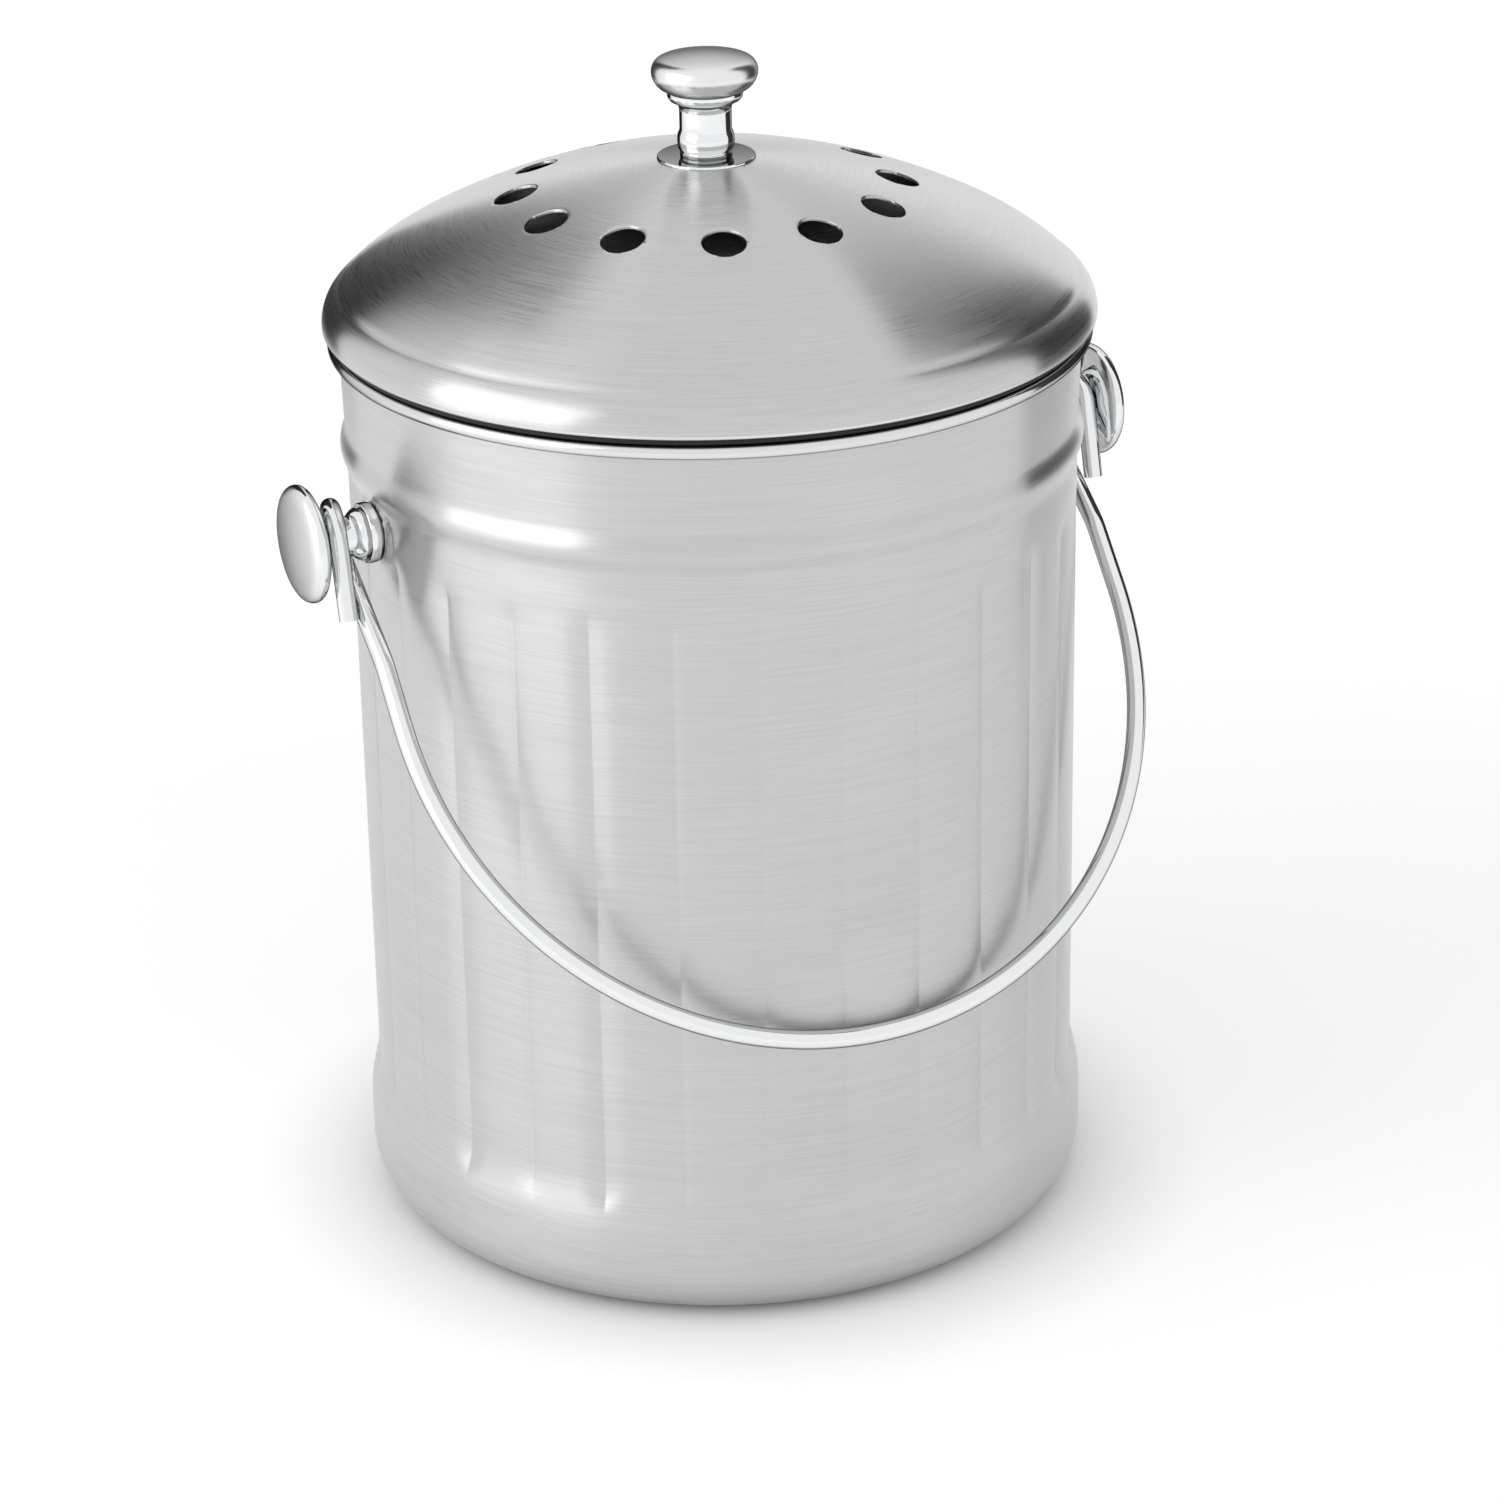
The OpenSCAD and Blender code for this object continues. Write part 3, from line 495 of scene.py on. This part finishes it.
def makeLidKnob():
    discTop = lidTop + lidKnob["discThickness"]
    spacerTop = discTop + lidKnob["spacerHeight"]
    disc = [(2.8, lidTop), (11.6, lidTop), (11.7, lidTop + 0.12), (11.66, lidTop + 0.42), (11.5, discTop - 0.02), (11.3, discTop), (2.8, discTop), (2.8, lidTop)]
    polishedTurning("lidKnobDisc", disc, "lid", "lid_knob_disc")
    r = lidKnob["spacerRadius"]
    ring = [(2.8, discTop), (r - 0.15, discTop), (r, discTop + 0.15), (r, spacerTop - 0.5), (r - 0.1, spacerTop - 0.36), (r - 0.35, spacerTop - 0.3), (r - 0.4, spacerTop), (2.8, spacerTop), (2.8, discTop)]
    polishedTurning("lidKnobSpacer", ring, "lid", "lid_knob_spacer")
    z = spacerTop
    bulb = [(6.0, 0), (6.35, 0.12), (6.55, 0.5), (6.72, 1.2), (6.79, 2.2), (6.76, 3.2), (6.62, 4.0), (6.38, 4.55), (6.24, 4.85)]
    neck = [(6.2, 5.2), (6.2, 7.5), (6.2, 9.7)]
    cove = arcPoints(6.2 + 2.5, 9.7, 2.5, 180, 98, 8)[1:]
    collar = [(8.45, 12.35), (8.8, 12.75), (8.98, 13.3), (9.0, 13.9), (8.98, 14.25)]
    under = [(9.15, 14.42), (9.8, 14.7), (10.8, 15.3), (11.6, 16.1), (12.15, 17.0), (12.5, 17.9), (12.64, 18.8), (12.58, 19.6), (12.33, 20.4)]
    crown = [(11.9, 21.1), (11.25, 21.68), (10.4, 22.08), (9.2, 22.4), (7.6, 22.72), (6.0, 22.97), (4.2, 23.2), (2.2, 23.34), (0, 23.39)]
    section = [(0, 0)] + bulb + neck + cove + collar + under + crown
    knob = polishedTurning("lidKnob", [(a, z + b) for a, b in section], "lid", "lid_knob")
    refinish(knob, satinChrome, lambda spot: spot.z > z + 14.3)


makeLidKnob()
print("lid knob made")


# Skirt and gasket under the lid

under = {
    "gasketZ": 224.6, "flangeZ": 226.0, "skirtHeight": 13, "skirtRadius": 86.35, "sheet": 0.7, "flangeRadius": 90.3,
    "gasketThickness": 1.4, "rimMiddle": 89.85, "rimRoll": 1.7,
}


def makeSkirtAndGasket():
    r, top, low = under["skirtRadius"], under["flangeZ"], under["flangeZ"] - under["skirtHeight"]
    sheet, out = under["sheet"], under["flangeRadius"]
    section = [(r - sheet, low + 0.1), (r - sheet / 2, low), (r, low + 0.1), (r, top - 0.5), (r + 0.15, top - 0.13), (r + 0.5, top), (out, top), (out, top + sheet)]
    section += [(r + 0.2, top + sheet), (r - 0.35, top + sheet - 0.2), (r - sheet, top - 0.3), (r - sheet, low + 0.1)]
    skirt = spun("lidSkirt", upright(section), 240, sharpAngle=40)
    giveMaterial(skirt, canSteel)
    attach(skirt, "lid")
    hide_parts("lid_skirt")

    inner = r + 0.1
    outer = r + under["gasketThickness"]
    low = under["gasketZ"] - under["skirtHeight"] * 0.55
    z, top = under["gasketZ"], under["flangeZ"]
    lip = under["rimMiddle"] + 0.6 * under["rimRoll"]
    band = [(inner, low), (outer - 0.3, low), (outer, low + 0.35)]
    for i in range(3):  # three soft ribs that grip the mouth
        rib = low + 1.2 + 1.7 * i
        band += [(outer - 0.28, rib), (outer, rib + 0.45), (outer, rib + 0.75), (outer - 0.28, rib + 1.2)]
    band += [(outer, z - 0.25), (outer + 0.25, z), (lip - 0.3, z), (lip - 0.05, z + 0.3), (lip, z + 0.7), (lip - 0.05, top - 0.25), (lip - 0.3, top)]
    band += [(inner, top), (inner, low)]
    gasket = spun("lidGasket", upright(band), 240, sharpAngle=40)
    giveMaterial(gasket, silicone)
    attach(gasket, "lid")
    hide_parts("lid_gasket")


makeSkirtAndGasket()
print("skirt and gasket made")


# Side knobs: spacer ring, cone, neck and crowned cap, turned about the pivot axis

sideKnob = {"seatX": 88.9, "spacerLength": 3.4, "spacerRadius": 7.25, "capX": 102.9, "pivotZ": 186.2}


def sidewaysTurning(name, section, side, body, node):
    # (radius, distance out) points in mm, spun about the X axis through the pivot
    pivot = sideKnob["pivotZ"]
    points = [Vector((side * out * mm, 0, (pivot + r) * mm)) for r, out in section]
    piece = spun(name, points, 96, centre=(0, 0, pivot * mm), axis="X", sharpAngle=28)
    giveMaterial(piece, chrome)
    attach(piece, body)
    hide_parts(node)
    return piece


def makeSideKnobs():
    seat, length, r = sideKnob["seatX"], sideKnob["spacerLength"], sideKnob["spacerRadius"]
    deep = r - 1.5
    ring = [(2.3, seat), (deep, seat), (deep, seat + 0.45), (r - 0.2, seat + 0.45), (r - 0.08, seat + 0.6), (r, seat + 1.2), (r, seat + 1.9), (r - 0.1, seat + length - 0.65), (r - 0.22, seat + length - 0.5)]
    ring += [(deep, seat + length - 0.5), (deep, seat + length), (2.3, seat + length), (2.3, seat)]
    foot = seat + length
    cap = sideKnob["capX"]
    cone = [(0, foot), (5.9, foot), (6.18, foot + 0.1), (6.3, foot + 0.35), (6.05, foot + 1.0), (5.5, foot + 1.75), (5.0, foot + 2.3), (4.7, foot + 2.75), (4.6, foot + 3.2)]
    neck = [(4.6, cap - 0.5), (4.75, cap - 0.1), (5.2, cap)]
    back = [(8.2, cap + 0.5), (8.8, cap + 0.8), (11.2, cap + 1.15), (12.7, cap + 1.5), (13.5, cap + 1.95), (13.95, cap + 2.55), (14.1, cap + 3.2)]
    back += [(14.0, cap + 3.85), (13.7, cap + 4.45), (13.2, cap + 4.95), (12.5, cap + 5.35)]
    crown = [(11.6, cap + 5.62), (10.2, cap + 5.84), (8.2, cap + 6.07), (6.0, cap + 6.27), (3.8, cap + 6.41), (1.9, cap + 6.47), (0, cap + 6.49)]
    for side, word in ((-1, "left"), (1, "right")):
        sidewaysTurning(word + "Spacer", ring, side, "can", word + "_spacer")
        knob = sidewaysTurning(word + "Knob", cone + neck + back + crown, side, "can", word + "_knob")
        refinish(knob, satinChrome, lambda spot: abs(spot.x) > cap + 4.2)


makeSideKnobs()
print("side knobs made")


# Bail: one length of wire, hooked over both necks, leaning on the front of the can

bail = {
    "wire": 2.3, "reach": 144.1, "half": 95.6, "cut": 100.3, "hook": 7.2, "hookOpen": 26, "hookLength": 18.5,
    "hookMeet": 32, "wall": 88.1, "restGap": 0.35, "pivotZ": 186.2, "flat": 0.4,
}


def bailPoint(x, s, n):
    # x across, s down the plane of the bail from the pivot, n off that plane to the front
    lean = math.asin((bail["wall"] + bail["restGap"] + bail["wire"]) / bail["reach"])
    y = -s * math.sin(lean) - n * math.cos(lean)
    z = bail["pivotZ"] - s * math.cos(lean) + n * math.sin(lean)
    return Vector((x, y, z)) * mm


def bailCorners(side):
    hook, opening = bail["hook"], math.radians(bail["hookOpen"])
    meet = math.asin(hook / bail["hookMeet"])
    wrap = (math.pi + meet + opening) / 3
    corner = hook / math.cos(wrap / 2)
    lanes = [bail["cut"], (bail["cut"] + bail["half"]) / 2, bail["half"]]
    end = bailPoint(side * bail["cut"], hook * math.sin(opening) + bail["hookLength"] * math.cos(opening),
                    hook * math.cos(opening) - bail["hookLength"] * math.sin(opening))
    corners = [end]
    for i, lane in enumerate(lanes):
        a = math.pi / 2 - opening + wrap * (i + 0.5)
        corners.append(bailPoint(side * lane, corner * math.cos(a), corner * math.sin(a)))
    corners.append(bailPoint(side * bail["half"], bail["hookMeet"], 0))
    corners.append(bailPoint(side * bail["half"], bail["reach"], 0))
    return corners


def bendPoints(a, b, c, radius, steps):
    # Points of the arc that rounds corner b of the path a, b, c
    into, out = (b - a).normalized(), (c - b).normalized()
    angle = into.angle(out)
    trim = radius * math.tan(angle / 2)
    centre = b - into * trim + (out - into * into.dot(out)).normalized() * radius
    x = (b - into * trim - centre) / radius
    return [centre + (x * math.cos(angle * i / steps) + into * math.sin(angle * i / steps)) * radius for i in range(steps + 1)]


def makeBail():
    right, left = bailCorners(1), bailCorners(-1)
    corners = right + left[::-1]
    bends = [0, bail["hook"], bail["hook"], bail["hook"], 2 * bail["hook"], bail["half"] - bail["flat"] / 2]
    bends = [b * mm for b in bends + bends[::-1]]
    path = [corners[0]]
    for i in range(1, len(corners) - 1):
        steps = 64 if bends[i] > 50 * mm else 12
        path += bendPoints(corners[i - 1], corners[i], corners[i + 1], bends[i], steps)
    path.append(corners[-1])
    piece = drawnChain("bailWire", path)
    bpy.ops.object.mode_set(mode="OBJECT")
    bpy.ops.object.convert(target="CURVE")
    wire = bpy.context.object
    wire.data.bevel_depth = bail["wire"] * mm
    wire.data.bevel_resolution = 10
    wire.data.use_fill_caps = True
    bpy.ops.object.convert(target="MESH")
    piece = bpy.context.object
    piece.name = piece.data.name = "bailWire"
    bpy.ops.object.mode_set(mode="EDIT")
    bpy.ops.mesh.select_all(action="SELECT")
    bpy.ops.mesh.remove_doubles(threshold=0.002 * mm)
    bpy.ops.mesh.normals_make_consistent(inside=False)
    finishMesh(piece, 40)
    giveMaterial(piece, chrome)
    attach(piece, "bail")
    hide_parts("bail_handle")


makeBail()
print("bail made")


# The small parts and the filter stay as they were drawn, with their own finishes

for nodeName in ("left_screw", "right_screw", "left_washer", "right_washer", "lid_screw", "lid_washer"):
    giveMaterial(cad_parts[nodeName], zincSteel)
for nodeName in ("filter_ring", "filter_holder"):
    giveMaterial(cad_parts[nodeName], holderPlastic)
giveMaterial(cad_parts["filter_pad"], feltCharcoal)
print("small parts finished")


# Studio: white floor and room, two dark cards, a soft lamp, and the photographer's viewpoint

camera = {
    "distance": 1150.23, "aimZ": 114.08, "azimuth": -25.6, "elevation": 23.38, "roll": -1.2,
    "lens": 110.94, "shiftX": 0.02098, "shiftY": -0.00607,
}


def makeCamera():
    a, e, roll = (math.radians(camera[key]) for key in ("azimuth", "elevation", "roll"))
    back = Vector((math.sin(a) * math.cos(e), -math.cos(a) * math.cos(e), math.sin(e)))
    level = Vector((math.cos(a), math.sin(a), 0))
    above = back.cross(level)
    right = level * math.cos(roll) + above * math.sin(roll)
    up = above * math.cos(roll) - level * math.sin(roll)
    selectNothing()
    bpy.ops.object.camera_add()
    eye = bpy.context.object
    place = Vector((0, 0, camera["aimZ"] * mm)) + back * camera["distance"] * mm
    eye.matrix_world = Matrix.Translation(place) @ Matrix((right, up, back)).transposed().to_4x4()
    eye.data.lens = camera["lens"]
    eye.data.sensor_width = 36
    eye.data.shift_x, eye.data.shift_y = camera["shiftX"], camera["shiftY"]
    eye.data.clip_start, eye.data.clip_end = 0.01, 100
    bpy.context.scene.camera = eye


# Two dark cards stand behind the object, left and right, so that its outline shows on white, and one large soft
# lamp stands at its left. Degrees round from the photographer (right is positive) and metres. A card is its name, place, distance, width and height
studio = {
    "lamp": {"around": -62, "away": 1.0, "height": 0.55, "size": 0.9, "watts": 3.4},
    "cards": [("cardRight", 118, 0.42, 0.3, 0.8), ("cardLeft", -142, 0.42, 0.24, 0.8)],
    "cardGrey": 0.05, "cardLift": 0.12, "whole": 1.0,
    # The last number is how far from the object, in mm, the floor's glow darkens into a painted shadow
    "floorPaint": 0.56, "floorGlow": 0.5, "paintedShadowReach": 36,
}


def seenDirectly(tree):
    # One for what the camera, mirrors and glass see
    rays = addNode(tree, "ShaderNodeLightPath")
    mirrored = addNode(tree, "ShaderNodeMath", {"operation": "MAXIMUM"}, {
        0: rays.outputs["Is Glossy Ray"], 1: rays.outputs["Is Transmission Ray"],
    })
    return addNode(tree, "ShaderNodeMath", {"operation": "MAXIMUM"}, {
        0: rays.outputs["Is Camera Ray"], 1: mirrored.outputs[0],
    }).outputs[0]


def makeFloor():
    # White paper with the object's shadow on it: a real shadow on its diffuse paint, and a painted shadow where its
    # glow, seen by the camera and in metal, darkens by ambient occlusion near the object
    selectNothing()
    bpy.ops.mesh.primitive_plane_add(size=12, location=(0, 0, 0))
    floor = bpy.context.object
    floor.name = "studioFloor"
    material, tree = newMaterial("whitePaper")
    paint = addNode(tree, "ShaderNodeBsdfDiffuse", links={"Color": [studio["floorPaint"]] * 3 + [1]})
    # Painted shadow: ambient occlusion darkens the floor's glow close to the object, for the camera and for metal
    shade = addNode(tree, "ShaderNodeAmbientOcclusion", links={"Distance": studio["paintedShadowReach"] * mm})
    glowInPaintedShadow = addNode(tree, "ShaderNodeMath", {"operation": "MULTIPLY"}, {
        0: shade.outputs["AO"], 1: studio["floorGlow"],
    })
    lit = addNode(tree, "ShaderNodeMath", {"operation": "MULTIPLY"}, {0: seenDirectly(tree), 1: glowInPaintedShadow.outputs[0]})
    glow = addNode(tree, "ShaderNodeEmission", links={"Strength": lit.outputs[0]})
    paper = addNode(tree, "ShaderNodeAddShader", links={0: paint.outputs[0], 1: glow.outputs[0]})
    addNode(tree, "ShaderNodeOutputMaterial", links={"Surface": paper.outputs[0]})
    giveMaterial(floor, material)


def standing(around, away, height):
    # A spot round the object, and the turn that faces it from there
    turn = math.radians(camera["azimuth"] + around)
    return Vector((away * math.sin(turn), -away * math.cos(turn), height)), turn


def makeCards():
    material, tree = newMaterial("darkCard")
    paint = addNode(tree, "ShaderNodeBsdfDiffuse", links={"Color": [studio["cardGrey"]] * 3 + [1]})
    addNode(tree, "ShaderNodeOutputMaterial", links={"Surface": paint.outputs[0]})
    for name, around, away, width, height in studio["cards"]:
        place, turn = standing(around, away, height / 2 + studio["cardLift"])
        selectNothing()
        bpy.ops.mesh.primitive_plane_add(size=1, location=place, rotation=(math.radians(90), 0, turn))
        card = bpy.context.object
        card.name = name
        card.scale = (width, height, 1)
        card.visible_camera = False
        giveMaterial(card, material)


def makeLamp():
    lamp = studio["lamp"]
    place, turn = standing(lamp["around"], lamp["away"], lamp["height"])
    selectNothing()
    bpy.ops.object.light_add(type="AREA", location=place)
    light = bpy.context.object
    light.name = "softLamp"
    light.rotation_euler = (place - Vector((0, 0, camera["aimZ"] * mm))).to_track_quat("Z", "Y").to_euler()
    light.data.size = lamp["size"]
    light.data.energy = lamp["watts"]
    light.visible_camera = False


def makeWorld():
    # White all round, for the light and for what metal mirrors
    world = bpy.data.worlds.new("studioRoom")
    bpy.context.scene.world = world
    world.use_nodes = True
    tree = world.node_tree
    tree.nodes.clear()
    white = addNode(tree, "ShaderNodeBackground", links={"Color": (1, 1, 1, 1), "Strength": studio["whole"]})
    addNode(tree, "ShaderNodeOutputWorld", links={"Surface": white.outputs[0]})


makeCamera()
makeFloor()
makeCards()
makeLamp()
makeWorld()
bpy.context.scene.view_settings.view_transform = "Standard"
print("studio set")
